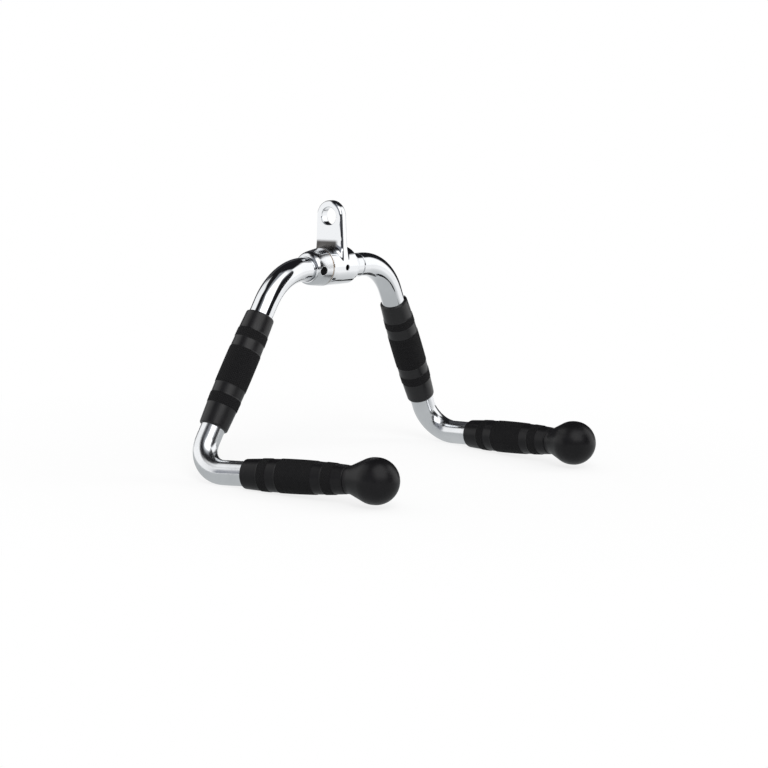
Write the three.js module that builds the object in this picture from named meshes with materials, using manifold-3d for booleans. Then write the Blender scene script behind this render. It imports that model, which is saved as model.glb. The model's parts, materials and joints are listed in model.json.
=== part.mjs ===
// Close grip row handle for a cable machine: two bent tube arms on a swivelling hanger.
// Millimetres, +Z up, X along the hub, handles toward -Y, standing on its handles at Z = 0.
import * as THREE from "three";
import { mergeVertices } from "three/addons/utils/BufferGeometryUtils.js";
import Module from "manifold-3d";

const wasm = await Module();
wasm.setup();

// Clearances
const fitGap = 0.3;
const cutOverrun = 3;

// Arm tube: one inch outside
const tubeRadius = 12.7;
const tubeWall = 3;
const topBendRadius = 64.5;
const legAngle = THREE.MathUtils.degToRad(30.5);
const lowerBendRadius = 29.7;
const handleToeIn = THREE.MathUtils.degToRad(7.5);
const handleRise = THREE.MathUtils.degToRad(6.3);

// Hanger: a forging of hub and lug that turns on the spindle
const hubRadius = 18.9;
const hubLength = 41;
const hubEdgeRadius = 1.8;
const lugThickness = 10;
const lugEdgeRadius = 2.8;
const eyeHeight = 54;
const eyeRadius = 9.4;
const eyeRimRadius = 1;
const eyeWall = 7.2;
const lugFootHeight = 9.6;
const oilHoleRadius = 3;
const oilHoleOffset = 2;
const hangerTilt = THREE.MathUtils.degToRad(5.3);

// Flanged bushings pressed into the hub
const hubWall = 4.8;
const bushingWall = 2.5;
const bushingLength = 14;
const bushingFlangeThickness = 1.4;
const bushingFlangeWidth = 1.2;

// Spindle: journal in the hub, plugs in the tube bores, shoulder welded to the right arm
const spindleLeftPlug = 26;
const spindleShoulder = 19;
const spindleRightPlug = 8;
const spindleToBend = 2.5;
const spindleChamfer = 1;
const weldGrooveDepth = 0.5;

// Lock cap on the left arm and stop collar on the right
const capRadius = 18.5;
const capLength = 21;
const capLipRadius = 14;
const collarRadius = 16;
const collarLength = 6;
const collarEdgeRadius = 1.2;

// Set screw through the cap and the left tube into the spindle
const screwRadius = 4;
const screwLength = 6.5;
const screwInset = 13.5;
const screwDimpleDepth = 1.5;
const screwSocketWidth = 4;
const screwSocketDepth = 3.5;

// Rubber grips: barrels with three raised bands, the handle's cut shorter where its ball starts
const gripLength = 128.4;
const gripEndRadius = 15.1;
const gripCornerRadius = 1.8;
const gripBandHeight = 0.45;
const gripBandShares = [[0.157, 0.235], [0.325, 0.644], [0.732, 0.818]];
const legGripBulge = 1.65;
const legGripOffset = 14.5;
const legGripToBend = 14.1;
const handleGripTrim = 10.4;
const handleGripBulge = 2.2;
const handleGripNeckRadius = 14.5;
const handleGripOffset = 27;

// Ball ends: rubber moulded on the head of a stud
const ballRadius = 23.5;
const ballNeckRadius = 14.2;
const ballNeckStraight = 3.3;
const ballConeAngle = THREE.MathUtils.degToRad(23.7);
const ballWaist = 1.6;
const tubeInBall = 17;
const studRadius = 5;
const studLength = 30;
const studHeadRadius = 9;
const studHeadLength = 5;
const insertLength = 22;
const insertFlangeThickness = 2;
const insertFlangeInset = 0.4;

// Facets round a full turn
const tubeSides = 24;
const hubSides = 32;
const smallSides = 16;
const topBendSteps = 10;
const lowerBendSteps = 10;
const cornerSteps = 3;
const coveSteps = 8;
const eyeSteps = 12;
const ballSteps = 6;

const xAxis = new THREE.Vector3(1, 0, 0);
const yAxis = new THREE.Vector3(0, 1, 0);
const zAxis = new THREE.Vector3(0, 0, 1);

const chrome = { color: 0xdde1e4, roughness: 0.1, metalness: 1 };
const rubber = { color: 0x1d1c1f, roughness: 0.75, metalness: 0 };
const bronze = { color: 0xa8834a, roughness: 0.35, metalness: 1 };
const blackSteel = { color: 0x2b2b2d, roughness: 0.4, metalness: 0.9 };
const plainSteel = { color: 0x9a9da0, roughness: 0.35, metalness: 1 };

// Density in grams per cubic millimetre, for the balance of the standing part
const densities = new Map([
  [chrome, 0.00785],
  [rubber, 0.0012],
  [bronze, 0.0088],
  [blackSteel, 0.00785],
  [plainSteel, 0.00785],
]);

// A closed solid that can be joined and cut
function solidOf(geometry) {
  const bare = geometry.index ? geometry.clone() : mergeVertices(geometry);
  bare.deleteAttribute("normal");
  bare.deleteAttribute("uv");
  const merged = mergeVertices(bare);
  return new wasm.Manifold(
    new wasm.Mesh({
      numProp: 3,
      vertProperties: merged.attributes.position.array,
      triVerts: new Uint32Array(merged.index.array),
    }),
  );
}

function geometryOf(solid) {
  const mesh = solid.getMesh();
  const geometry = new THREE.BufferGeometry();
  geometry.setAttribute("position", new THREE.BufferAttribute(mesh.vertProperties, 3));
  geometry.setIndex(new THREE.BufferAttribute(mesh.triVerts, 1));
  return geometry;
}

// Profile points on an arc round a centre, from one angle to another
function arcPoints(centreX, centreY, radius, from, to, steps) {
  const points = [];
  for (let i = 0; i <= steps; i += 1) {
    const angle = from + ((to - from) * i) / steps;
    points.push([centreX + radius * Math.cos(angle), centreY + radius * Math.sin(angle)]);
  }
  return points;
}

// A solid of revolution about Z from [radius, height] points that run up the outside
function revolved(profile, sides) {
  const points = profile.map(([radius, height]) => new THREE.Vector2(radius, height));
  const onAxis = profile[0][0] === 0 && profile[profile.length - 1][0] === 0;
  if (!onAxis) points.push(points[0].clone());
  const geometry = new THREE.LatheGeometry(points, sides);
  geometry.rotateX(Math.PI / 2);
  return geometry;
}

// A rod from one height to another on Z, used for cuts and plain pins
function rod(radius, from, to, sides) {
  return revolved([[0, from], [radius, from], [radius, to], [0, to]], sides);
}

// Turns a shape drawn along Z so that it lies along a direction from a point
function alongDirection(geometry, point, direction) {
  const turn = new THREE.Quaternion().setFromUnitVectors(zAxis, direction);
  geometry.applyQuaternion(turn);
  geometry.translate(point.x, point.y, point.z);
  return geometry;
}

// The stations of a circular bend: points and directions of the centreline
function bend(start, startDirection, endDirection, radius, steps) {
  const angle = startDirection.angleTo(endDirection);
  const inward = endDirection.clone();
  inward.addScaledVector(startDirection, -startDirection.dot(endDirection));
  inward.normalize();
  const stations = [];
  for (let i = 1; i <= steps; i += 1) {
    const turned = (angle * i) / steps;
    const point = start.clone();
    point.addScaledVector(startDirection, radius * Math.sin(turned));
    point.addScaledVector(inward, radius * (1 - Math.cos(turned)));
    const direction = startDirection.clone().multiplyScalar(Math.cos(turned));
    direction.addScaledVector(inward, Math.sin(turned));
    stations.push({ point, direction });
  }
  return stations;
}

function onward(station, distance) {
  const point = station.point.clone().addScaledVector(station.direction, distance);
  return { point, direction: station.direction };
}

// An arm's centreline: along the hub, down the leg and out along the handle.
// Side is 1 for the right arm and -1 for the left.
function armLine(side, start, end, topSteps, lowerSteps) {
  const outward = new THREE.Vector3(side, 0, 0);
  const down = new THREE.Vector3(side * Math.sin(legAngle), 0, -Math.cos(legAngle));
  const forward = new THREE.Vector3(
    -side * Math.sin(handleToeIn) * Math.cos(handleRise),
    -Math.cos(handleToeIn) * Math.cos(handleRise),
    Math.sin(handleRise),
  );
  const first = { point: new THREE.Vector3(side * start, 0, 0), direction: outward };
  const bendStart = { point: new THREE.Vector3(side * hubStraight, 0, 0), direction: outward };
  const topBend = bend(bendStart.point, outward, down, topBendRadius, topSteps);
  const legStart = topBend[topBend.length - 1];
  const legEnd = onward(legStart, legStraight);
  const lowerBend = bend(legEnd.point, down, forward, lowerBendRadius, lowerSteps);
  const handleStart = lowerBend[lowerBend.length - 1];
  const last = onward(handleStart, end);
  const stations = [first, bendStart, ...topBend, legEnd, ...lowerBend, last];
  return { stations, legStart, handleStart };
}

// One ring of points round each station, turned from station to station without twist
function ringsAlong(stations, radius, sides) {
  const across = new THREE.Vector3(0, -1, 0);
  const rings = [];
  stations.forEach(({ point, direction }, i) => {
    if (i > 0) {
      const turn = new THREE.Quaternion();
      turn.setFromUnitVectors(stations[i - 1].direction, direction);
      across.applyQuaternion(turn);
    }
    const other = new THREE.Vector3().crossVectors(direction, across);
    const ring = [];
    for (let k = 0; k < sides; k += 1) {
      const angle = (2 * Math.PI * k) / sides;
      const vertex = point.clone();
      vertex.addScaledVector(across, radius * Math.cos(angle));
      vertex.addScaledVector(other, radius * Math.sin(angle));
      ring.push(vertex);
    }
    rings.push(ring);
  });
  return rings;
}

// A closed skin through rings with the same number of points; the last ring meets the first
// when looped, and otherwise both ends are capped
function skin(rings, looped) {
  const sides = rings[0].length;
  const positions = rings.flat().flatMap((vertex) => [vertex.x, vertex.y, vertex.z]);
  const triangles = [];
  const bands = looped ? rings.length : rings.length - 1;
  for (let r = 0; r < bands; r += 1) {
    const here = r * sides;
    const next = ((r + 1) % rings.length) * sides;
    for (let k = 0; k < sides; k += 1) {
      const after = (k + 1) % sides;
      triangles.push(here + k, here + after, next + after);
      triangles.push(here + k, next + after, next + k);
    }
  }
  if (!looped) {
    const top = (rings.length - 1) * sides;
    for (let k = 1; k < sides - 1; k += 1) {
      triangles.push(0, k + 1, k);
      triangles.push(top, top + k, top + k + 1);
    }
  }
  const geometry = new THREE.BufferGeometry();
  geometry.setAttribute("position", new THREE.Float32BufferAttribute(positions, 3));
  geometry.setIndex(triangles);
  return geometry;
}

// Places along the hub, all from the hub's half length
const hubEnd = hubLength / 2;
const boreRadius = tubeRadius - tubeWall;
const plugRadius = boreRadius - fitGap;
const hubBore = hubRadius - hubWall;
const bushingRadius = hubBore - fitGap;
const bushingBore = bushingRadius - bushingWall;
const journalRadius = bushingBore - fitGap;
const flangeStart = hubEnd + fitGap;
const flangeEnd = flangeStart + bushingFlangeThickness;
const jointFace = flangeEnd + fitGap;
const shoulderEnd = jointFace + spindleShoulder;
const rightTubeStart = shoulderEnd + fitGap;
const hubStraight = shoulderEnd + spindleRightPlug + spindleToBend;
const sleeveFit = tubeRadius + fitGap;
const screwPlace = -(jointFace + screwInset);

// Side view of the lug: its round top about the eye, and the taper of its sides
const eyeOuterRadius = eyeRadius + eyeWall;
const lugTaper = Math.asin((hubRadius - eyeOuterRadius) / eyeHeight);

// Straight of the leg, and places along the handle from the end of the lower bend
const legStraight = legGripOffset + gripLength + legGripToBend;
const handleGripLength = gripLength - handleGripTrim;
const ballMouthPlace = handleGripOffset + handleGripLength + fitGap;
const tubeEnd = ballMouthPlace + tubeInBall;

// The ball from its mouth: its neck, its cone, and the seats inside it
const coneLength = (ballRadius * Math.cos(ballConeAngle) - ballNeckRadius) / Math.tan(ballConeAngle);
const shoulderCentre = ballNeckStraight + coneLength + ballRadius * Math.sin(ballConeAngle);
const ballCentre = shoulderCentre + ballWaist;
const studSeat = tubeInBall + insertFlangeThickness + 2 * fitGap;
const studHeadStart = studSeat + studLength - insertLength;

function armTube(side, start) {
  const outerLine = armLine(side, start, tubeEnd, topBendSteps, lowerBendSteps);
  const boreLine = armLine(side, start, tubeEnd, topBendSteps / 2, lowerBendSteps / 2);
  const outer = ringsAlong(outerLine.stations, tubeRadius, tubeSides);
  const bore = ringsAlong(boreLine.stations, boreRadius, tubeSides);
  return skin([...outer, ...bore.reverse()], true);
}

// The screw's seat cuts the cap, the left tube and the spindle alike
function screwCut(radius, from, to) {
  const place = new THREE.Vector3(screwPlace, 0, 0);
  return alongDirection(rod(radius, from, to, smallSides), place, yAxis.clone().negate());
}

function leftArmTube() {
  const hole = screwCut(screwRadius + fitGap, boreRadius - cutOverrun, tubeRadius + cutOverrun);
  return geometryOf(solidOf(armTube(-1, jointFace)).subtract(solidOf(hole)));
}

// A stepped spindle along X
function hubSpindle() {
  const profile = [
    [0, -jointFace - spindleLeftPlug],
    [plugRadius - spindleChamfer, -jointFace - spindleLeftPlug],
    [plugRadius, -jointFace - spindleLeftPlug + spindleChamfer],
    [plugRadius, -jointFace + fitGap],
    [journalRadius, -jointFace + fitGap],
    [journalRadius, jointFace],
    [tubeRadius, jointFace],
    [tubeRadius, shoulderEnd - weldGrooveDepth],
    [tubeRadius - weldGrooveDepth, shoulderEnd],
    [plugRadius, shoulderEnd],
    [plugRadius, shoulderEnd + spindleRightPlug - spindleChamfer],
    [plugRadius - spindleChamfer, shoulderEnd + spindleRightPlug],
    [0, shoulderEnd + spindleRightPlug],
  ];
  const shaft = alongDirection(revolved(profile, tubeSides), new THREE.Vector3(), xAxis);
  const dimple = screwCut(
    screwRadius + fitGap,
    plugRadius - screwDimpleDepth - fitGap,
    plugRadius + cutOverrun,
  );
  return geometryOf(solidOf(shaft).subtract(solidOf(dimple)));
}

// Half width of the lug's side view at a height: lines tangent to the hub and to the eye's ring
function lugHalfWidth(height) {
  return (hubRadius - height * Math.sin(lugTaper)) / Math.cos(lugTaper);
}

// The plate seen from the side, with its edges rounded all the way round
function lugPlate() {
  const taperSine = Math.sin(lugTaper);
  const taperCosine = Math.cos(lugTaper);
  const outline = new THREE.Shape();
  outline.moveTo(-hubRadius * taperCosine, hubRadius * taperSine);
  outline.lineTo(hubRadius * taperCosine, hubRadius * taperSine);
  outline.absarc(0, eyeHeight, eyeOuterRadius, lugTaper, Math.PI - lugTaper, false);
  outline.closePath();
  const plate = new THREE.ExtrudeGeometry(outline, {
    depth: lugThickness - 2 * lugEdgeRadius,
    bevelThickness: lugEdgeRadius,
    bevelSize: lugEdgeRadius,
    bevelOffset: -lugEdgeRadius,
    bevelSegments: cornerSteps,
    curveSegments: eyeSteps,
  });
  plate.translate(0, 0, lugEdgeRadius - lugThickness / 2);
  plate.applyMatrix4(new THREE.Matrix4().makeBasis(yAxis, zAxis, xAxis));
  return plate;
}

// Half thickness of the foot: an elliptical cove sweeps from the hub's full length to the plate
function footHalfThickness(height) {
  const plate = lugThickness / 2;
  if (height <= hubRadius) return hubEnd;
  const share = (hubRadius + lugFootHeight - height) / lugFootHeight;
  return plate + (hubEnd - plate) * (1 - Math.sqrt(1 - share ** 2));
}

// A rounded rectangle across the foot
function footSection(height) {
  const ring = [];
  const insetX = footHalfThickness(height) - lugEdgeRadius;
  const insetY = lugHalfWidth(height) - lugEdgeRadius;
  const quarters = [[1, 1], [-1, 1], [-1, -1], [1, -1]];
  quarters.forEach(([signX, signY], quarter) => {
    const from = (quarter * Math.PI) / 2;
    const to = from + Math.PI / 2;
    const corner = arcPoints(signX * insetX, signY * insetY, lugEdgeRadius, from, to, cornerSteps);
    corner.forEach(([x, y]) => ring.push(new THREE.Vector3(x, y, height)));
  });
  return ring;
}

function lugFoot() {
  const sections = [footSection(0)];
  for (let i = 0; i <= coveSteps; i += 1) {
    const angle = (Math.PI / 2) * (1 - i / coveSteps);
    sections.push(footSection(hubRadius + lugFootHeight * (1 - Math.sin(angle))));
  }
  return skin(sections, false);
}

function swivelHanger() {
  const edge = hubEdgeRadius;
  const hubProfile = [
    ...arcPoints(hubRadius - edge, edge - hubEnd, edge, -Math.PI / 2, 0, cornerSteps),
    ...arcPoints(hubRadius - edge, hubEnd - edge, edge, 0, Math.PI / 2, cornerSteps),
    [hubBore, hubEnd],
    [hubBore, -hubEnd],
  ];
  const origin = new THREE.Vector3();
  const hub = solidOf(alongDirection(revolved(hubProfile, hubSides), origin, xAxis));
  const bore = rod(hubBore, -hubEnd - cutOverrun, hubEnd + cutOverrun, hubSides);
  const plate = lugThickness / 2;
  const rim = eyeRimRadius;
  const flare = plate + rim;
  const eyeProfile = [
    [0, -flare],
    [eyeRadius + 2 * rim, -flare],
    ...arcPoints(eyeRadius + rim, rim - plate, rim, -Math.PI / 2, -Math.PI, cornerSteps),
    ...arcPoints(eyeRadius + rim, plate - rim, rim, Math.PI, Math.PI / 2, cornerSteps),
    [eyeRadius + 2 * rim, flare],
    [0, flare],
  ];
  const eyeCentre = new THREE.Vector3(0, 0, eyeHeight);
  const eye = alongDirection(revolved(eyeProfile, tubeSides), eyeCentre, xAxis);
  const oilHole = alongDirection(
    rod(oilHoleRadius, hubBore - cutOverrun, hubRadius + cutOverrun, smallSides),
    new THREE.Vector3(oilHoleOffset, 0, 0),
    yAxis.clone().negate(),
  );
  const body = solidOf(lugFoot())
    .add(solidOf(lugPlate()))
    .subtract(solidOf(alongDirection(bore, origin, xAxis)))
    .add(hub)
    .subtract(solidOf(eye))
    .subtract(solidOf(oilHole));
  return geometryOf(body);
}

function flangedBushing(side) {
  const flangeRadius = bushingRadius + bushingFlangeWidth;
  const profile = [
    [bushingBore, hubEnd - bushingLength],
    [bushingRadius, hubEnd - bushingLength],
    [bushingRadius, flangeStart],
    [flangeRadius, flangeStart],
    [flangeRadius, flangeEnd],
    [bushingBore, flangeEnd],
  ];
  const outward = xAxis.clone().multiplyScalar(side);
  return alongDirection(revolved(profile, tubeSides), new THREE.Vector3(), outward);
}

// The cap's nose is one long arc from the joint face down to its lip
function leftLockCap() {
  const drop = capRadius - capLipRadius;
  const noseRadius = (capLength ** 2 + drop ** 2) / (2 * drop);
  const sweep = Math.asin(capLength / noseRadius);
  const nose = arcPoints(capRadius - noseRadius, jointFace, noseRadius, 0, sweep, 3 * cornerSteps);
  const profile = [[sleeveFit, jointFace], ...nose, [sleeveFit, jointFace + capLength]];
  const outward = xAxis.clone().negate();
  const cap = alongDirection(revolved(profile, hubSides), new THREE.Vector3(), outward);
  const hole = screwCut(screwRadius + fitGap, tubeRadius - cutOverrun, capRadius + cutOverrun);
  return geometryOf(solidOf(cap).subtract(solidOf(hole)));
}

function rightStopCollar() {
  const edge = collarEdgeRadius;
  const end = jointFace + collarLength;
  const profile = [
    [sleeveFit, jointFace],
    [collarRadius, jointFace],
    ...arcPoints(collarRadius - edge, end - edge, edge, 0, Math.PI / 2, cornerSteps),
    [sleeveFit, end],
  ];
  return alongDirection(revolved(profile, hubSides), new THREE.Vector3(), xAxis);
}

function capSetScrew() {
  const tip = plugRadius - screwDimpleDepth;
  const head = tip + screwLength;
  const socket = new THREE.CylinderGeometry(
    screwSocketWidth / Math.sqrt(3),
    screwSocketWidth / Math.sqrt(3),
    screwSocketDepth + cutOverrun,
    6,
  );
  socket.rotateX(Math.PI / 2);
  socket.translate(0, 0, head + (cutOverrun - screwSocketDepth) / 2);
  const place = new THREE.Vector3(screwPlace, 0, 0);
  const inward = yAxis.clone().negate();
  const cut = solidOf(alongDirection(socket, place, inward));
  return geometryOf(solidOf(screwCut(screwRadius, tip, head)).subtract(cut));
}

// A grip along Z from the end nearer the hub: its ends have their own radii, it bulges between
// them, and the raised bands keep their places when the grip is cut shorter
function rubberGrip(length, farRadius, bulge) {
  const barrel = (place) => {
    const share = place / length;
    const taper = gripEndRadius + (farRadius - gripEndRadius) * share;
    return taper + bulge * (1 - (2 * share - 1) ** 2);
  };
  const bands = gripBandShares.flatMap(([from, to]) => {
    const [low, high] = [from * gripLength, to * gripLength];
    return [[low, 0], [low, gripBandHeight], [high, gripBandHeight], [high, 0]];
  });
  const nearCorner = Math.min(gripCornerRadius, gripEndRadius - sleeveFit);
  const farCorner = Math.min(gripCornerRadius, farRadius - sleeveFit);
  const nearInset = gripEndRadius - nearCorner;
  const farInset = farRadius - farCorner;
  const profile = [
    [sleeveFit, 0],
    ...arcPoints(nearInset, nearCorner, nearCorner, -Math.PI / 2, 0, cornerSteps),
    ...bands.map(([place, height]) => [barrel(place) + height, place]),
    ...arcPoints(farInset, length - farCorner, farCorner, 0, Math.PI / 2, cornerSteps),
    [sleeveFit, length],
  ];
  return revolved(profile, tubeSides);
}

function legGrip() {
  return rubberGrip(gripLength, gripEndRadius, legGripBulge);
}

function handleGrip() {
  return rubberGrip(handleGripLength, handleGripNeckRadius, handleGripBulge);
}

// The ball's far half is round. Its near half narrows on a cone, which runs into the neck.
// Inside are the seats of the tube, of the insert's flange, and of the stud and its head.
function ballEnd() {
  const headStart = studHeadStart - fitGap;
  const headEnd = studHeadStart + studHeadLength + fitGap;
  const outside = [
    [0, 0],
    [ballNeckRadius, 0],
    [ballNeckRadius, ballNeckStraight],
    ...arcPoints(0, shoulderCentre, ballRadius, -ballConeAngle, 0, cornerSteps),
    ...arcPoints(0, ballCentre, ballRadius, 0, Math.PI / 2, ballSteps).slice(0, -1),
    [0, ballCentre + ballRadius],
  ];
  const seats = [
    [0, -cutOverrun],
    [sleeveFit, -cutOverrun],
    [sleeveFit, studSeat],
    [studRadius + fitGap, studSeat],
    [studRadius + fitGap, headStart],
    [studHeadRadius + fitGap, headStart],
    [studHeadRadius + fitGap, headEnd],
    [0, headEnd],
  ];
  const ball = solidOf(revolved(outside, tubeSides));
  return geometryOf(ball.subtract(solidOf(revolved(seats, tubeSides))));
}

// Plug in the tube's end with a tapped hole through it
function tubeEndInsert() {
  const flangeFoot = tubeInBall + fitGap;
  const profile = [
    [studRadius + fitGap, flangeFoot - insertLength],
    [plugRadius, flangeFoot - insertLength],
    [plugRadius, flangeFoot],
    [tubeRadius - insertFlangeInset, flangeFoot],
    [tubeRadius - insertFlangeInset, flangeFoot + insertFlangeThickness],
    [studRadius + fitGap, flangeFoot + insertFlangeThickness],
  ];
  return revolved(profile, tubeSides);
}

function ballStud() {
  const profile = [
    [0, studHeadStart - studLength],
    [studRadius, studHeadStart - studLength],
    [studRadius, studHeadStart],
    [studHeadRadius, studHeadStart],
    [studHeadRadius, studHeadStart + studHeadLength],
    [0, studHeadStart + studHeadLength],
  ];
  return revolved(profile, smallSides);
}

function piece(name, geometry, finish) {
  geometry.computeVertexNormals();
  const mesh = new THREE.Mesh(geometry, new THREE.MeshStandardMaterial(finish));
  mesh.name = name;
  mesh.userData.density = densities.get(finish);
  return mesh;
}

function placedAt(mesh, station) {
  mesh.position.copy(station.point);
  mesh.quaternion.setFromUnitVectors(zAxis, station.direction);
  return mesh;
}

const frame = new THREE.Group();
frame.add(
  piece("left_arm_tube", leftArmTube(), chrome),
  piece("right_arm_tube", armTube(1, rightTubeStart), chrome),
  piece("hub_spindle", hubSpindle(), chrome),
  piece("left_lock_cap", leftLockCap(), chrome),
  piece("right_stop_collar", rightStopCollar(), chrome),
  piece("cap_set_screw", capSetScrew(), blackSteel),
);

for (const [side, label] of [[-1, "left"], [1, "right"]]) {
  const { legStart, handleStart } = armLine(side, jointFace, tubeEnd, topBendSteps, lowerBendSteps);
  const legPlace = onward(legStart, legGripOffset);
  const handlePlace = onward(handleStart, handleGripOffset);
  const mouthPlace = onward(handleStart, ballMouthPlace);
  frame.add(
    placedAt(piece(`${label}_leg_grip`, legGrip(), rubber), legPlace),
    placedAt(piece(`${label}_handle_grip`, handleGrip(), rubber), handlePlace),
    placedAt(piece(`${label}_ball_end`, ballEnd(), rubber), mouthPlace),
    placedAt(piece(`${label}_tube_end_insert`, tubeEndInsert(), plainSteel), mouthPlace),
    placedAt(piece(`${label}_ball_stud`, ballStud(), plainSteel), mouthPlace),
  );
}

// What turns about the hub: the forging with its two pressed bushings
const hanger = new THREE.Group();
hanger.add(
  piece("swivel_hanger", swivelHanger(), chrome),
  piece("left_bushing", flangedBushing(-1), bronze),
  piece("right_bushing", flangedBushing(1), bronze),
);
hanger.rotation.x = -hangerTilt;

const closeGripRowHandle = new THREE.Group();
closeGripRowHandle.add(frame, hanger);

// Side view: the vertices as [y, z], and the centre of mass from the pieces' volumes
function sideView(group) {
  const points = [];
  const balance = new THREE.Vector2();
  let mass = 0;
  group.updateMatrixWorld(true);
  group.traverse((mesh) => {
    if (!mesh.isMesh) return;
    const flat = mesh.geometry.index ? mesh.geometry.toNonIndexed() : mesh.geometry;
    const position = flat.getAttribute("position");
    const corners = [];
    for (let i = 0; i < position.count; i += 1) {
      const corner = new THREE.Vector3().fromBufferAttribute(position, i);
      corner.applyMatrix4(mesh.matrixWorld);
      corners.push(corner);
      points.push(new THREE.Vector2(corner.y, corner.z));
    }
    for (let i = 0; i < corners.length; i += 3) {
      const [a, b, c] = corners.slice(i, i + 3);
      const weight = (a.dot(new THREE.Vector3().crossVectors(b, c)) / 6) * mesh.userData.density;
      balance.x += (weight * (a.y + b.y + c.y)) / 4;
      balance.y += (weight * (a.z + b.z + c.z)) / 4;
      mass += weight;
    }
  });
  return { points, balance: balance.divideScalar(mass) };
}

// The angle that lays flat the edge of the lower outline that the centre of mass stands over
function standingAngle({ points, balance }) {
  const sorted = points.slice().sort((a, b) => a.x - b.x || a.y - b.y);
  const hull = [];
  for (const point of sorted) {
    while (hull.length > 1) {
      const last = hull[hull.length - 1].clone().sub(hull[hull.length - 2]);
      const next = point.clone().sub(hull[hull.length - 2]);
      if (last.cross(next) > 0) break;
      hull.pop();
    }
    hull.push(point);
  }
  for (let i = 1; i < hull.length; i += 1) {
    const edge = hull[i].clone().sub(hull[i - 1]);
    const along = balance.clone().sub(hull[i - 1]).dot(edge) / edge.lengthSq();
    if (along >= 0 && along <= 1 && edge.x > 0) return Math.atan2(edge.y, edge.x);
  }
  return 0;
}

closeGripRowHandle.rotation.x = -standingAngle(sideView(closeGripRowHandle));
closeGripRowHandle.updateMatrixWorld(true);
const room = new THREE.Box3().setFromObject(closeGripRowHandle, true);
closeGripRowHandle.position.y = -(room.min.y + room.max.y) / 2;
closeGripRowHandle.position.z = -room.min.z;

export default closeGripRowHandle;
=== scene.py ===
import json
import math

import bmesh
import bpy
import numpy as np
from mathutils import Matrix, Vector


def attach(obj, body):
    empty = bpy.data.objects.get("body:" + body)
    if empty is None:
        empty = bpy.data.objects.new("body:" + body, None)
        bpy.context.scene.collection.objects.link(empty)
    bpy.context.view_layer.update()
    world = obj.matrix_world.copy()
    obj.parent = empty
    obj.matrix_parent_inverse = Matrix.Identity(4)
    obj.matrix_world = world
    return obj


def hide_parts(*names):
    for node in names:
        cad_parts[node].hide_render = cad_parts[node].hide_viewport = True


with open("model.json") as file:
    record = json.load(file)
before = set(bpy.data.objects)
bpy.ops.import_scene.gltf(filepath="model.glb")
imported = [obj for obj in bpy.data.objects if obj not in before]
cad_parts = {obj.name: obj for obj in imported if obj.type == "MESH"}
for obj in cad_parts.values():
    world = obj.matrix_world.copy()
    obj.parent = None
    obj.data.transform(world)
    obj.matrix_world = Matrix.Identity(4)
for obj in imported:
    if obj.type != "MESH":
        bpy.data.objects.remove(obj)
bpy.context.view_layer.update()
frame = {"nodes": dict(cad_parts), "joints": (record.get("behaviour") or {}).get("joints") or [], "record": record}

# Sizes in millimetres. The gap of every fit, and the rounding of plain edges
FIT_GAP = 0.3
FINE_EDGE = 0.2
SOFT_EDGE = 0.3
ROUND_EDGE = 0.6

# Arms: one inch tube, bent twice
TUBE_RADIUS = 12.7
TUBE_BORE = 9.7
HUB_STRAIGHT = 52.0
TOP_BEND_RADIUS = 64.5
LEG_ANGLE = math.radians(30.5)
LEG_STRAIGHT = 157.0
LOWER_BEND_RADIUS = 29.7
HANDLE_TOE_IN = math.radians(7.5)
HANDLE_RISE = math.radians(6.3)

# Hanger: hub sleeve, its crown under the lug, cove, lug and eye
HUB_RADIUS = 18.9
HUB_END = 20.5
HUB_BORE = 14.1
SLEEVE_RADIUS = 20.0
SLEEVE_RISE = SLEEVE_RADIUS - HUB_RADIUS
SLEEVE_EDGE = 0.7
LUG_HALF = 5.0
LUG_FOOT_EDGE = 1.8
LUG_EDGE = 2.8
LUG_EDGE_START = 10.0
LUG_EDGE_RISE = 18.0
COVE_LEAST = 0.1
COVE_RADIUS = 6.5
COVE_START = 4.0
COVE_RISE = 14.0
EYE_HEIGHT = 54.0
EYE_RADIUS = 9.4
EYE_OUTER_RADIUS = 16.6
EYE_RIM = 1.0
OIL_HOLE_RADIUS = 3.0
OIL_HOLE_PLACE = 2.0
OIL_HOLE_EDGE = 0.5
HANGER_TILT = math.radians(5.3)

# Painted shade in the corner over the sleeve: the height of its middle, its reach up and down, how
# much further it reaches sideways, where it ends towards the front, and how it fades
SHADE_HEIGHT = SLEEVE_RADIUS + 1.3
SHADE_REACH = 8.4
SHADE_FADE = 3.0
SHADE_SIDEWAYS = 0.48
SHADE_FRONT = 12.5
SHADE_FRONT_FADE = 4.0

# Bushings, spindle, cap, collar and set screw along the hub
BUSHING_RADIUS = 13.8
BUSHING_BORE = 11.3
BUSHING_LENGTH = 14.0
BUSHING_EDGE = 0.4
BUSHING_CORNER = 0.1
LEFT_FLANGE_RADIUS = 19.7
RIGHT_FLANGE_RADIUS = 17.4
FLANGE_THICKNESS = 1.4
FLANGE_RISE_WIDTH = 2.0
FLANGE_START = HUB_END + FIT_GAP
FLANGE_END = FLANGE_START + FLANGE_THICKNESS
JOINT_FACE = FLANGE_END + FIT_GAP
JOURNAL_RADIUS = 11.0
PLUG_RADIUS = 9.4
PLUG_EDGE = 1.0
LEFT_PLUG_LENGTH = 26.0
RIGHT_PLUG_LENGTH = 8.0
SHOULDER_LENGTH = 19.0
SHOULDER_EDGE = 0.5
LEFT_PLUG_END = JOINT_FACE + LEFT_PLUG_LENGTH
SHOULDER_END = JOINT_FACE + SHOULDER_LENGTH
RIGHT_PLUG_END = SHOULDER_END + RIGHT_PLUG_LENGTH
WELD_EDGE = 0.3
SLEEVE_FIT = TUBE_RADIUS + FIT_GAP
CAP_LENGTH = 21.0
CAP_LIP_RADIUS = 13.6
CAP_TAPER = 0.42
CAP_END_POWER = 8
CAP_END_LEAST = 0.01
CAP_EDGE = 0.15
COLLAR_RADIUS = 16.0
COLLAR_LENGTH = 6.0
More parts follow.
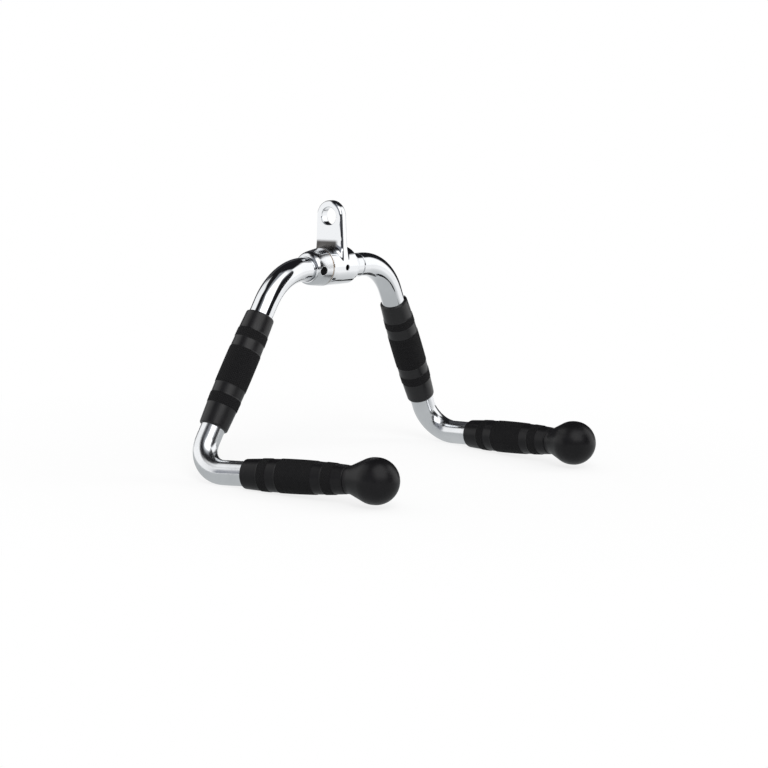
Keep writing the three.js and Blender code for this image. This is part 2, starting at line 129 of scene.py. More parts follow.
COLLAR_FAR_EDGE = 1.2
SCREW_RADIUS = 4.0
SCREW_FROM_FACE = 13.5
SCREW_PLACE = -(JOINT_FACE + SCREW_FROM_FACE)
SCREW_TIP = 7.9
SCREW_HEAD = 14.4
SCREW_EDGE = 0.5
SOCKET_HALF = 2.0
SOCKET_DEPTH = 3.5
SOCKET_EDGE = 0.15
SOCKET_TURN = 0.3
# How far past the set screw's hole the cap is painted black: painted shade
SHADED_HOLE_RIM = 0.35

# Rubber grips and ball ends
GRIP_LENGTH = 128.4
GRIP_END_RADIUS = 15.1
GRIP_CORNER = 1.8
BAND_HEIGHT = 0.45
BAND_EDGE = 0.7
BAND_SHARES = ((0.157, 0.235), (0.325, 0.644), (0.732, 0.818))
LEG_GRIP_BULGE = 1.65
LEG_GRIP_OFFSET = 14.5
HANDLE_GRIP_LENGTH = 118.0
HANDLE_GRIP_BULGE = 2.2
HANDLE_GRIP_NECK = 14.5
HANDLE_GRIP_OFFSET = 27.0
BALL_RADIUS = 23.5
BALL_NECK_RADIUS = 14.2
BALL_NECK_STRAIGHT = 3.3
BALL_NECK_FILLET = 12.0
BALL_CONE_ANGLE = math.radians(23.7)
BALL_WAIST = 1.6
BALL_MOUTH = HANDLE_GRIP_OFFSET + HANDLE_GRIP_LENGTH + FIT_GAP
TUBE_IN_BALL = 17.0
INSERT_FLANGE_ROOM = 2.6
STUD_FIT = 5.3
STUD_NECK_LENGTH = 7.7
STUD_HEAD_FIT = 9.3
STUD_HEAD_LENGTH = 5.6
STUD_SEAT = TUBE_IN_BALL + INSERT_FLANGE_ROOM
STUD_HEAD_START = STUD_SEAT + STUD_NECK_LENGTH
STUD_HEAD_END = STUD_HEAD_START + STUD_HEAD_LENGTH

# How finely the pieces are cut: points round a turned piece or a tube, rows of points along
# their parts, and the cells of the nets round hanger, cap and screw, in millimetres. A net starts
# some cells before its box, off the round values at which the flat faces lie. Its points slide
# onto the surface in a few turns, half a cell at most in each, and the slope is read over a
# small share of a cell.
ROUND = 2 * math.pi
SIDES = 96
EDGE_ROWS = 6
TUBE_EDGE_ROWS = 5
TOP_BEND_ROWS = 48
LOWER_BEND_ROWS = 40
GRIP_ROWS = 260
BALL_SHOULDER_ROWS = 8
BALL_FRONT_ROWS = 40
LONG_SIDE = 1.0
LONG_SIDE_INSET = 0.2
HANGER_CELL = 0.5
CAP_CELL = 0.4
SCREW_CELL = 0.16
NET_START = 1.6
NET_SLIDES = 4
NET_LONGEST_SLIDE = 0.5
NET_SHARES = 50
LEAST_STEEPNESS = 0.1

# The hinge is the hub's centre. The eye's place over it tells how far the handle leans as it
# stands, because the hanger's own tilt behind the arms is known.
hinge = np.array(frame["joints"][0]["pos_m"], float)
eye = next(m for m in frame["record"]["mounts"] if m["name"] == "eye")
eye_from_hinge = np.array(eye["pos_m"], float) - hinge
hanger_lean = -math.atan2(eye_from_hinge[1], eye_from_hinge[2])
arms_lean = hanger_lean + HANGER_TILT


def turned(vectors, lean):
    """Vectors turned about X by the lean: y cos - z sin, y sin + z cos."""
    c, s = math.cos(lean), math.sin(lean)
    x, y, z = vectors[..., 0], vectors[..., 1], vectors[..., 2]
    return np.stack([x, y * c - z * s, y * s + z * c], axis=-1)


def stood(points, lean):
    """Millimetre points about the hub, turned by the lean and set on the hinge, in metres."""
    return turned(np.asarray(points, float), lean) / 1000 + hinge


def put(name, data):
    """A new object in the scene."""
    made = bpy.data.objects.new(name, data)
    bpy.context.scene.collection.objects.link(made)
    return made


# The camera stands three metres off on a long lens. Its direction, roll and target are given
# about the hub in the plane of the arms, and lean with them.
PHOTO_SIDE = 768
FOCAL_PIXELS = 2827.9
CAMERA_AZIMUTH = math.radians(-53.862)
CAMERA_ELEVATION = math.radians(9.366)
CAMERA_ROLL = math.radians(4.135)
CAMERA_DISTANCE = 3000.0
CAMERA_TARGET = np.array([24.717, -61.347, -118.67])
SENSOR_WIDTH = 36
VIEW_DEPTH = 50


def make_camera():
    """Back is (sin a cos e, -cos a cos e, sin e). The level axis (cos a, sin a, 0) and the one
    square to both are turned about it by the roll."""
    a, e, roll = CAMERA_AZIMUTH, CAMERA_ELEVATION, CAMERA_ROLL
    back = np.array([math.sin(a) * math.cos(e), -math.cos(a) * math.cos(e), math.sin(e)])
    level = np.array([math.cos(a), math.sin(a), 0.0])
    rise = np.cross(back, level)
    right = math.cos(roll) * level + math.sin(roll) * rise
    up = math.cos(roll) * rise - math.sin(roll) * level
    place = stood(CAMERA_TARGET + CAMERA_DISTANCE * back, arms_lean)
    axes = turned(np.array([right, up, back]), arms_lean)
    camera = put("camera", bpy.data.cameras.new("camera"))
    matrix = np.eye(4)
    matrix[:3, :3] = axes.T
    matrix[:3, 3] = place
    camera.matrix_world = Matrix(matrix.tolist())
    camera.data.sensor_width = SENSOR_WIDTH
    camera.data.lens = FOCAL_PIXELS * SENSOR_WIDTH / PHOTO_SIDE
    camera.data.clip_end = VIEW_DEPTH
    bpy.context.scene.camera = camera


make_camera()


class Wire:
    """One output socket of a material. Arithmetic on it adds Math nodes."""

    def __init__(self, finish, socket):
        self.finish = finish
        self.socket = socket

    def math(self, operation, *inputs):
        values = dict(enumerate(inputs))
        return self.finish.node("ShaderNodeMath", {"operation": operation}, values)

    def __add__(self, other):
        return self.math("ADD", self, other)

    def __sub__(self, other):
        return self.math("SUBTRACT", self, other)

    def __rsub__(self, other):
        return self.math("SUBTRACT", other, self)

    def __mul__(self, other):
        return self.math("MULTIPLY", self, other)

    __radd__ = __add__
    __rmul__ = __mul__

    def sine(self):
        return self.math("SINE", self)

    def size(self):
        return self.math("ABSOLUTE", self)

    def most(self, other):
        return self.math("MAXIMUM", self, other)


class Finish:
    """A material, or the world, made of nodes."""

    def __init__(self, owner):
        owner.use_nodes = True
        self.tree = owner.node_tree
        self.tree.nodes.clear()

    def node(self, kind, settings=None, values=None, output=0):
        """Adds a node: first its settings, a ramp's stops among them, then the values or the
        links of its sockets, by name or number."""
        made = self.tree.nodes.new(kind)
        for name, value in (settings or {}).items():
            if name == "stops":
                ramp = made.color_ramp.elements
                for i, (place, grey) in enumerate(value):
                    stop = ramp[i] if i < 2 else ramp.new(place)
                    stop.position = place
                    stop.color = (grey, grey, grey, 1)
            else:
                setattr(made, name, value)
        for name, value in (values or {}).items():
            if isinstance(value, Wire):
                self.tree.links.new(value.socket, made.inputs[name])
            else:
                made.inputs[name].default_value = value
        return Wire(self, made.outputs[output] if made.outputs else None)

    def place(self):
        """Where a point lies on the object, in metres."""
        return self.node("ShaderNodeTexCoord", output="Object")

    def noise(self, scale, detail=2.0, place=None):
        values = {"Vector": place or self.place(), "Scale": scale, "Detail": detail}
        return self.node("ShaderNodeTexNoise", None, values)

    def stretched(self, x, y, z):
        """The place with each axis drawn out or pressed together."""
        values = {"Vector": self.place(), "Scale": (x, y, z)}
        return self.node("ShaderNodeMapping", None, values)

    def between(self, value, low, high):
        """0 below low, 1 above high, and a straight rise between them."""
        return self.node("ShaderNodeValToRGB", {"stops": [(low, 0), (high, 1)]}, {0: value})

    def blend(self, share, first, second):
        """A colour between two."""
        values = {"Factor": share, 6: first, 7: second}
        return self.node("ShaderNodeMix", {"data_type": "RGBA"}, values, output=2)

    def bump(self, height, distance, normal=None):
        values = {"Height": height, "Distance": distance}
        if normal:
            values["Normal"] = normal
        return self.node("ShaderNodeBump", None, values)

    def parts(self, place):
        """A place's three values."""
        split = self.node("ShaderNodeSeparateXYZ", None, {0: place})
        return [Wire(self, output) for output in split.socket.node.outputs]

    def wrap(self):
        """The two values of the piece's own map: metres round and along a grip, or shares of a
        sheet's width."""
        return self.parts(self.node("ShaderNodeUVMap", {"uv_map": "wrap"}))[:2]

    def shade(self, values):
        surface = self.node("ShaderNodeBsdfPrincipled", None, values)
        self.node("ShaderNodeOutputMaterial", None, {"Surface": surface})


def new_material(name):
    """A material and its nodes."""
    material = bpy.data.materials.new(name)
    return material, Finish(material)


# The colours between which each material goes
PLATE = (0.87, 0.885, 0.905, 1)
SMUDGED_PLATE = (0.76, 0.775, 0.795, 1)
# Painted shade: the dark brownish colour of the corner between sleeve and lug
CORNER_SHADE_COLOUR = (0.062, 0.057, 0.051, 1)
SMOOTH_RUBBER = (0.0045, 0.0043, 0.005, 1), (0.0085, 0.008, 0.0092, 1)
# Knurled rubber: its darker colour lies in the knurl's grooves as painted shade
GROOVE_SHADED_RUBBER = (0.004, 0.004, 0.0044, 1), (0.0105, 0.0102, 0.0112, 1)
BRONZE = (0.62, 0.48, 0.35, 1), (0.3, 0.22, 0.15, 1)
BLACK_STEEL = (0.006, 0.006, 0.007, 1), (0.016, 0.016, 0.018, 1)
BARE_STEEL = (0.44, 0.45, 0.46, 1), (0.58, 0.58, 0.59, 1)

# The plate's least roughness, the heights in metres between which it is dulled, and the width
# in metres of the knurl's diamonds
PLATE_ROUGHNESS = 0.035
DULLED_HEIGHTS = 0.055, 0.1
DIAMOND_WIDTH = 0.0026


def chrome(name, wave, wave_scale, satin=0.0):
    """Bright plate, or satin plate. Handling leaves soft smudges in its gloss, the wave of the
    steel under it bends what it reflects, and lying on floors has dulled it low down, round the
    bends."""
    material, f = new_material(name)
    smudge = f.between(f.noise(42, 4), 0.42, 0.72)
    marks = f.noise(1, 3, f.stretched(60, 60, 1400))
    swell = f.noise(wave_scale, 1)
    dulled = 1 - f.between(f.parts(f.place())[2], *DULLED_HEIGHTS)
    f.shade({
        "Base Color": f.blend(smudge * 0.6, PLATE, SMUDGED_PLATE),
        "Metallic": 1.0,
        "Roughness": PLATE_ROUGHNESS + satin + 0.06 * smudge + 0.03 * marks + 0.12 * dulled,
        "Normal": f.bump(swell, wave, f.bump(marks, 0.000004)),
    })
    return material


def forged(name):
    """Plated forging. Painted shade makes it dark, dull and brownish where the piece's own map says
    that it is in the corner between sleeve and lug."""
    material, f = new_material(name)
    marks = f.noise(110, 3)
    swell = f.noise(60, 1)
    # Painted shade in the corner between sleeve and lug, a little uneven
    shaded = f.node("ShaderNodeAttribute", {"attribute_name": "corner_shade_share"}, output="Fac")
    shaded = shaded * (0.84 + 0.16 * f.noise(90, 2))
    f.shade({
        "Base Color": f.blend(shaded, PLATE, CORNER_SHADE_COLOUR),
        "Metallic": 1.0,
        "Roughness": PLATE_ROUGHNESS + 0.05 * marks + 0.3 * shaded,
        "Normal": f.bump(swell, 0.0005),
    })
    return material


def smooth_rubber(name, gloss):
    """The moulded satin rubber of the plain bands and the balls: dark, a little uneven."""
    material, f = new_material(name)
    cloud = f.noise(55, 3)
    grain = f.noise(1900, 2)
    f.shade({
        "Base Color": f.blend(cloud, *SMOOTH_RUBBER),
        "Roughness": 0.22 + 0.16 * cloud + 0.08 * grain,
        "Specular IOR Level": gloss,
        "Normal": f.bump(grain, 0.00003),
    })
    return material


def knurled_rubber(name):
    """The raised bands: rubber moulded with a fine diamond pattern, |sin(u + v)| |sin(u - v)|
    of the distances round and along, over a coarse grain. The grooves between the diamonds are
    darker: painted shade."""
    material, f = new_material(name)
    around, along = f.wrap()
    turns = math.pi / DIAMOND_WIDTH
    diamonds = ((around + along) * turns).sine().size() * ((around - along) * turns).sine().size()
    grain = f.noise(1500, 3)
    f.shade({
        # Painted shade: the colour is darker in the grooves, where the diamonds' height is low
        "Base Color": f.blend(diamonds, *GROOVE_SHADED_RUBBER),
        "Roughness": 0.72 + 0.12 * grain,
        "Specular IOR Level": 0.2,
        "Normal": f.bump(diamonds, 0.00032, f.bump(grain, 0.00004)),
    })
    return material


def bronze(name):
    """Machined bearing bronze with a brown film."""
    material, f = new_material(name)
    film = f.noise(140, 4)
    f.shade({
        "Base Color": f.blend(film, *BRONZE),
        "Metallic": 1.0,
        "Roughness": 0.24 + 0.25 * film,
        "Normal": f.bump(f.noise(900, 2), 0.00002),
    })
    return material


def black_steel(name):
    """Dull black oxide on alloy steel. Round the set screw's hole in the cap it is painted shade."""
    material, f = new_material(name)
    film = f.noise(420, 3)
    f.shade({
        "Base Color": f.blend(film, *BLACK_STEEL),
        "Roughness": 0.5 + 0.2 * film,
        "Normal": f.bump(film, 0.00002),
    })
    return material


def plain_steel(name):
    """Turned steel without plate."""
    material, f = new_material(name)
    lines = f.noise(1, 2, f.stretched(300, 3000, 300))
    f.shade({
        "Base Color": f.blend(lines, *BARE_STEEL),
        "Metallic": 1.0,
        "Roughness": 0.28 + 0.18 * lines,
        "Normal": f.bump(lines, 0.00001),
    })
    return material


tube_chrome = chrome("tube_chrome", 0.00025, 26)
turned_chrome = chrome("turned_chrome", 0.0001, 50)
satin_chrome = chrome("satin_chrome", 0.0001, 50, 0.09)
forged_chrome = forged("forged_chrome")
satin_rubber = smooth_rubber("satin_rubber", 0.46)
dull_rubber = smooth_rubber("dull_rubber", 0.26)
grip_rubber = knurled_rubber("grip_rubber")
bearing_bronze = bronze("bearing_bronze")
oxide_steel_and_shade = black_steel("oxide_steel_and_shade")
bare_steel = plain_steel("bare_steel")


def grid_faces(rows, columns):
    """The quads of a grid of points whose rows follow each other."""
    row = np.arange(rows - 1)[:, None]
    column = np.arange(columns - 1)[None, :]
    first = row * columns + column
    return np.stack([first, first + 1, first + columns + 1, first + columns], -1).reshape(-1, 4)


def dress(mesh, finishes, body, node):
    """Puts a finished mesh in the scene as the piece that stands for a solid."""
    for finish in finishes:
        mesh.materials.append(finish)
    made = put(node + "_finished", mesh)
    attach(made, body)
    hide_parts(node)
    return made


def grid_mesh(name, grid, lean, wrap=None, finish_rows=None):
    """A smooth mesh of a closed surface given as a grid, whose seam and poles are merged. The
    map and the choice of finish go by the grid's points and rows."""
    rows, columns = grid.shape[:2]
    mesh = bpy.data.meshes.new(name)
    points = stood(grid.reshape(-1, 3), lean)
    mesh.from_pydata(points.tolist(), [], grid_faces(rows, columns).tolist())
    mesh.polygons.foreach_set("use_smooth", np.ones(len(mesh.polygons), bool))
    if finish_rows is not None:
        choice = np.repeat(np.asarray(finish_rows[:-1], np.int32), columns - 1)
        mesh.polygons.foreach_set("material_index", choice)
    if wrap is not None:
        corners = np.zeros(len(mesh.loops), np.int32)
        mesh.loops.foreach_get("vertex_index", corners)
        layer = mesh.uv_layers.new(name="wrap")
        layer.data.foreach_set("uv", wrap.reshape(-1, 2)[corners].astype(np.float32).ravel())
    build = bmesh.new()
    build.from_mesh(mesh)
    bmesh.ops.remove_doubles(build, verts=build.verts, dist=1e-6)
    build.to_mesh(mesh)
    build.free()
    mesh.update()
    return mesh


def arc(centre_radius, centre_height, radius, start, end, steps):
    """Profile points at the centre + radius * (cos a, sin a)."""
    angles = np.linspace(start, end, steps + 1)
    points = [centre_radius + radius * np.cos(angles), centre_height + radius * np.sin(angles)]
    return np.stack(points, axis=-1)


def filleted(corners, closed=True):
    """A profile through [radius, height, fillet] corners. A corner becomes an arc that starts
    fillet / tan(half angle) before it, along (start sin((1 - t) a) + end sin(t a)) / sin a from
    its centre, and every long side has a point close to each end."""
    points = []
    count = len(corners)
    for i, (radius, height, fillet) in enumerate(corners):
        here = np.array([radius, height], float)
        if fillet == 0 or (not closed and i in (0, count - 1)):
            points.append(here)
            continue
        before = np.array(corners[i - 1][:2], float) - here
        after = np.array(corners[(i + 1) % count][:2], float) - here
        before, after = before / np.linalg.norm(before), after / np.linalg.norm(after)
        half = math.acos(float(np.clip(before @ after, -1, 1))) / 2
        middle = (before + after) / np.linalg.norm(before + after)
        centre = here + middle * fillet / math.sin(half)
        reach = fillet / math.tan(half)
        start, end = here + before * reach - centre, here + after * reach - centre
        sweep = math.pi - 2 * half
        t = np.linspace(0, 1, EDGE_ROWS + 1)[:, None]
        curve = np.sin((1 - t) * sweep) * start + np.sin(t * sweep) * end
        points.extend(centre + curve / math.sin(sweep))
    if closed:
        points.append(points[0])
    spaced = [points[0]]
    for here, there in zip(points, points[1:]):
        length = np.linalg.norm(there - here)
        if length > LONG_SIDE:
            inset = (there - here) * LONG_SIDE_INSET / length
            spaced += [here + inset, there - inset]
        spaced.append(there)
    return np.array(spaced)


def lathe(profile, base, axis, across):
    """Rings of a [radius, height] profile that runs up its outside:
    base + height * axis + radius * (cos a * across + sin a * axis x across)."""
    radius, height = profile[:, 0, None, None], profile[:, 1, None, None]
    angles = np.linspace(0, ROUND, SIDES + 1)[None, :, None]
    other = np.cross(axis, across)
    return base + height * axis + radius * (np.cos(angles) * across + np.sin(angles) * other)


X_AXIS = np.array([1.0, 0.0, 0.0])
Y_AXIS = np.array([0.0, 1.0, 0.0])
ORIGIN = np.zeros(3)


def about(vector, axis, angles):
    """A vector turned about an axis: v cos t + k x v sin t + k (k . v) (1 - cos t)."""
    t = np.asarray(angles)[:, None]
    lift = axis * (axis @ vector)
    return vector * np.cos(t) + np.cross(axis, vector) * np.sin(t) + lift * (1 - np.cos(t))


class Line:
    """A tube's centre line, laid piece by piece: places, directions and a vector across."""

    def __init__(self, place, direction, across):
        self.places = [np.array([place], float)]
        self.directions = [np.array([direction], float)]
        self.across = [np.array([across], float)]

    def end(self):
        return self.places[-1][-1], self.directions[-1][-1], self.across[-1][-1]

    def straight(self, length, steps=6):
        place, direction, across = self.end()
        far = np.linspace(0, length, steps + 1)[1:, None]
        self.places.append(place + far * direction)
        self.directions.append(np.repeat(direction[None], steps, 0))
        self.across.append(np.repeat(across[None], steps, 0))

    def bend(self, towards, radius, steps):
        """Round the axis square to both directions, at radius (sin t, 1 - cos t) from the
        start."""
        place, direction, across = self.end()
        axis = np.cross(direction, towards)
        axis /= np.linalg.norm(axis)
        inward = np.cross(axis, direction)
        t = np.linspace(0, math.acos(float(direction @ towards)), steps + 1)[1:]
        out = np.sin(t)[:, None] * direction + (1 - np.cos(t))[:, None] * inward
        self.places.append(place + radius * out)
        self.directions.append(about(direction, axis, t))
        self.across.append(about(across, axis, t))

    def skin(self, radius, bore, edge):
        """A tube of that radius and bore. Its outside runs along the line and its bore comes
        back. The far end turns over a round edge, 1 - sin t along and 1 - cos t in. The near
        end, in the cap or at the weld line, is 1 - sin t both along and in: a sharp rim."""
        places = np.concatenate(self.places)
        directions = np.concatenate(self.directions)
        across = np.concatenate(self.across)
        turn = np.linspace(0, math.pi / 2, TUBE_EDGE_ROWS)[:, None]
        rise, sink = np.sin(turn), 1 - np.cos(turn)
        starts = places[0] + directions[0] * edge * (1 - rise)
        ends = places[-1] - directions[-1] * edge * sink[::-1]
        outer_line = np.concatenate([starts, places[1:-1], ends])
        outer = np.concatenate([
            radius - edge * sink[::-1, 0],
            np.full(len(places) - 2, radius),
            radius - edge * (1 - rise[::-1, 0]),
        ])
        row = np.clip(np.arange(len(outer)) - TUBE_EDGE_ROWS + 1, 0, len(places) - 1)
        outer_directions, outer_across = directions[row], across[row]
        line = np.concatenate([outer_line, places[::-1], outer_line[:1]])
        way = np.concatenate([outer_directions, directions[::-1], outer_directions[:1]])[:, None]
        side = np.concatenate([outer_across, across[::-1], outer_across[:1]])[:, None]
        size = np.concatenate([outer, np.full(len(places), bore), outer[:1]])[:, None, None]
        angles = np.linspace(0, ROUND, SIDES + 1)[None, :, None]
        ring = np.cos(angles) * side + np.sin(angles) * np.cross(way, side)
        return line[:, None] + size * ring


def arm(side, start):
    """An arm from its place on the hub: along, down the leg and out along the handle. Gives the
    line, and where the leg and the handle start."""
    down = np.array([side * math.sin(LEG_ANGLE), 0.0, -math.cos(LEG_ANGLE)])
    forward = np.array([
        -side * math.sin(HANDLE_TOE_IN) * math.cos(HANDLE_RISE),
        -math.cos(HANDLE_TOE_IN) * math.cos(HANDLE_RISE),
        math.sin(HANDLE_RISE),
    ])
    line = Line(side * start * X_AXIS, side * X_AXIS, -Y_AXIS)
    line.straight(HUB_STRAIGHT - start)
    line.bend(down, TOP_BEND_RADIUS, TOP_BEND_ROWS)
    leg = line.end()
    line.straight(LEG_STRAIGHT)
    line.bend(forward, LOWER_BEND_RADIUS, LOWER_BEND_ROWS)
    handle = line.end()
    line.straight(BALL_MOUTH + TUBE_IN_BALL)
    return line, leg, handle


def rounded_step(place, edge_place):
    """0 before a band's edge and 1 after it, along 3 t^2 - 2 t^3."""
    t = np.clip((place - edge_place) / BAND_EDGE + 0.5, 0, 1)
    return t * t * (3 - 2 * t)


def grip_profile(length, far_radius, bulge):
    """Radius = end radius, drawn towards the far one, + bulge * (1 - (2 s - 1)^2), with the
    raised bands added. Gives the profile and which rows are knurled."""
    def barrel(place):
        share = place / length
        taper = GRIP_END_RADIUS + (far_radius - GRIP_END_RADIUS) * share
        return taper + bulge * (1 - (2 * share - 1) ** 2)

    near = min(GRIP_CORNER, GRIP_END_RADIUS - SLEEVE_FIT)
    far = min(GRIP_CORNER, far_radius - SLEEVE_FIT)
    places = np.linspace(near, length - far, GRIP_ROWS)
    bands = np.zeros_like(places)
    for low, high in BAND_SHARES:
        bands += rounded_step(places, low * GRIP_LENGTH) - rounded_step(places, high * GRIP_LENGTH)
    side = np.stack([barrel(places) + BAND_HEIGHT * bands, places], axis=-1)
    start = arc(side[0, 0] - near, near, near, -math.pi / 2, 0, EDGE_ROWS)[:-1]
    end = arc(side[-1, 0] - far, length - far, far, 0, math.pi / 2, EDGE_ROWS)[1:]
    bore = np.array([[SLEEVE_FIT, length], [SLEEVE_FIT, length / 2], [SLEEVE_FIT, 0]])
    profile = np.concatenate([start, side, end, bore, start[:1]])
    knurled = np.zeros(len(profile), int)
    knurled[len(start):len(start) + len(side)] = bands > 0.5
    return profile, knurled


def make_grip(name, station, offset, profile, knurled, plain):
    """A grip that starts at the offset past a station of its arm. Its map is the angle times
    the end radius, and the height along the profile, in metres."""
    base, direction, across = station
    grid = lathe(profile, base + offset * direction, direction, across)
    rows, columns = grid.shape[:2]
    around = np.linspace(0, ROUND * GRIP_END_RADIUS / 1000, columns)[None, :] * np.ones((rows, 1))
    along = profile[:, 1, None] / 1000 * np.ones((1, columns))
    wrap = np.stack([around, along], axis=-1)
    mesh = grid_mesh(name, grid, arms_lean, wrap, knurled)
    dress(mesh, [plain, grip_rubber], "frame", name)


def ball_profile():
    """Round far half, a short waist, a round shoulder, a cone, and a neck that the cone runs
    into on a wide fillet. The seats of tube, insert and stud are inside."""
    cone_radius = BALL_RADIUS * math.cos(BALL_CONE_ANGLE)
    cone_end = BALL_NECK_STRAIGHT + (cone_radius - BALL_NECK_RADIUS) / math.tan(BALL_CONE_ANGLE)
    shoulder_centre = cone_end + BALL_RADIUS * math.sin(BALL_CONE_ANGLE)
    shoulder = arc(0, shoulder_centre, BALL_RADIUS, -BALL_CONE_ANGLE, 0, BALL_SHOULDER_ROWS)
    inside_and_neck = filleted([
        (0, STUD_HEAD_END, 0),
        (STUD_HEAD_FIT, STUD_HEAD_END, FINE_EDGE),
        (STUD_HEAD_FIT, STUD_HEAD_START, FINE_EDGE),
        (STUD_FIT, STUD_HEAD_START, FINE_EDGE),
        (STUD_FIT, STUD_SEAT, FINE_EDGE),
        (SLEEVE_FIT, STUD_SEAT, FINE_EDGE),
        (SLEEVE_FIT, 0, SOFT_EDGE),
        (BALL_NECK_RADIUS, 0, ROUND_EDGE),
        (BALL_NECK_RADIUS, BALL_NECK_STRAIGHT, BALL_NECK_FILLET),
        (cone_radius, cone_end, 0),
    ], closed=False)
    front = arc(0, shoulder_centre + BALL_WAIST, BALL_RADIUS, 0, math.pi / 2, BALL_FRONT_ROWS)
    front[-1, 0] = 0
    return np.concatenate([inside_and_neck[:-1], shoulder, front])


def make_ball(name, station):
    """A ball end, whose mouth is a gap past the handle grip's end."""
    base, direction, across = station
    grid = lathe(ball_profile(), base + BALL_MOUTH * direction, direction, across)
    dress(grid_mesh(name, grid, arms_lean), [dull_rubber], "frame", name)


leg_grip = grip_profile(GRIP_LENGTH, GRIP_END_RADIUS, LEG_GRIP_BULGE)
handle_grip = grip_profile(HANDLE_GRIP_LENGTH, HANDLE_GRIP_NECK, HANDLE_GRIP_BULGE)
for side, label, start in ((-1, "left", JOINT_FACE), (1, "right", SHOULDER_END + FIT_GAP)):
    line, leg_start, handle_start = arm(side, start)
    tube_name = label + "_arm_tube"
    tube = grid_mesh(tube_name, line.skin(TUBE_RADIUS, TUBE_BORE, WELD_EDGE), arms_lean)
    dress(tube, [tube_chrome], "frame", tube_name)
    make_grip(label + "_leg_grip", leg_start, LEG_GRIP_OFFSET, *leg_grip, satin_rubber)
    make_grip(label + "_handle_grip", handle_start, HANDLE_GRIP_OFFSET, *handle_grip, dull_rubber)
    make_ball(label + "_ball_end", handle_start)


def make_turned(name, corners, closed=True):
    """A plated piece turned about the hub's axis, from its profile's corners."""
    grid = lathe(filleted(corners, closed), ORIGIN, X_AXIS, -Y_AXIS)
    dress(grid_mesh(name, grid, arms_lean), [turned_chrome], "frame", name)


def make_bushing(name, side, flange_radius):
    """A bushing with a flange. A rim as wide as the sleeve follows the sleeve's rise: its points
    rise in full where their radius is a little over the narrow flange's."""
    profile = filleted([
        (BUSHING_BORE, HUB_END - BUSHING_LENGTH, SOFT_EDGE),
        (BUSHING_RADIUS, HUB_END - BUSHING_LENGTH, BUSHING_EDGE),
        (BUSHING_RADIUS, FLANGE_START, BUSHING_CORNER),
        (flange_radius, FLANGE_START, FINE_EDGE),
        (flange_radius, FLANGE_END, SOFT_EDGE),
        (BUSHING_BORE, FLANGE_END, SOFT_EDGE),
    ])
    share = np.clip((profile[:, 0] - RIGHT_FLANGE_RADIUS) / FLANGE_RISE_WIDTH, 0, 1)
    grid = lathe(profile, ORIGIN, side * X_AXIS, -Y_AXIS)
    grid[..., 2] += SLEEVE_RISE * share[:, None]
    dress(grid_mesh(name, grid, hanger_lean), [bearing_bronze], "hanger", name)


make_turned("hub_spindle", [
    (0, -LEFT_PLUG_END, 0),
    (PLUG_RADIUS, -LEFT_PLUG_END, PLUG_EDGE),
    (PLUG_RADIUS, FIT_GAP - JOINT_FACE, FINE_EDGE),
    (JOURNAL_RADIUS, FIT_GAP - JOINT_FACE, SOFT_EDGE),
    (JOURNAL_RADIUS, JOINT_FACE, FINE_EDGE),
    (TUBE_RADIUS, JOINT_FACE, SHOULDER_EDGE),
    (TUBE_RADIUS, SHOULDER_END, WELD_EDGE),
    (PLUG_RADIUS, SHOULDER_END, FINE_EDGE),
    (PLUG_RADIUS, RIGHT_PLUG_END, PLUG_EDGE),
    (0, RIGHT_PLUG_END, 0),
], closed=False)
make_turned("right_stop_collar", [
    (SLEEVE_FIT, JOINT_FACE, SOFT_EDGE),
    (COLLAR_RADIUS, JOINT_FACE, ROUND_EDGE),
    (COLLAR_RADIUS, JOINT_FACE + COLLAR_LENGTH, COLLAR_FAR_EDGE),
    (SLEEVE_FIT, JOINT_FACE + COLLAR_LENGTH, SOFT_EDGE),
])
make_bushing("left_bushing", -1, LEFT_FLANGE_RADIUS)
make_bushing("right_bushing", 1, RIGHT_FLANGE_RADIUS)


def common(first, second, radius):
    """The overlap of two shapes given by their distances, with a round edge: both distances
    grow by the radius, and past the edge their hypotenuse counts."""
    a, b = first + radius, second + radius
    outside = np.hypot(np.maximum(a, 0), np.maximum(b, 0))
    return np.minimum(np.maximum(a, b), 0) + outside - radius


def joined(first, second, radius):
    """Two shapes given by their distances, with a round cove between them: where both are
    nearer than the radius, the radius less the hypotenuse of what is left of it counts."""
    a, b = np.maximum(radius - first, 0), np.maximum(radius - second, 0)
    return np.maximum(radius, np.minimum(first, second)) - np.hypot(a, b)


def hanger_shape(x, y, z):
    """The lug: a plate whose side view is the hull of the hub's circle and the eye's ring. The
    sleeve: a circle along X, a little larger and nearer to the lug than the hub's. A cove that
    opens towards the lug joins them, and the bore, the eye and the oil hole are cut out."""
    rise = (HUB_RADIUS - EYE_OUTER_RADIUS) / EYE_HEIGHT
    level = math.sqrt(1 - rise * rise)
    across = np.abs(y)
    along = z * level - across * rise
    side_view = np.where(
        along < 0,
        np.hypot(across, z) - HUB_RADIUS,
        np.where(
            along > level * EYE_HEIGHT,
            np.hypot(across, z - EYE_HEIGHT) - EYE_OUTER_RADIUS,
            across * level + z * rise - HUB_RADIUS,
        ),
    )
    edge_share = np.clip((z - LUG_EDGE_START) / LUG_EDGE_RISE, 0, 1)
    edge = LUG_FOOT_EDGE + (LUG_EDGE - LUG_FOOT_EDGE) * edge_share
    lug = common(np.abs(x) - LUG_HALF, side_view, edge)
    sleeve = np.hypot(y, z - SLEEVE_RISE) - SLEEVE_RADIUS
    cove = COVE_LEAST + COVE_RADIUS * np.clip((z - COVE_START) / COVE_RISE, 0, 1)
    solid = joined(lug, common(np.abs(x) - HUB_END, sleeve, SLEEVE_EDGE), cove)
    solid = common(solid, HUB_BORE - np.hypot(y, z), ROUND_EDGE)
    solid = common(solid, EYE_RADIUS - np.hypot(y, z - EYE_HEIGHT), EYE_RIM)
    oil_hole = np.where(y < 0, OIL_HOLE_RADIUS - np.hypot(x - OIL_HOLE_PLACE, z), -HUB_RADIUS)
    return common(solid, oil_hole, OIL_HOLE_EDGE)


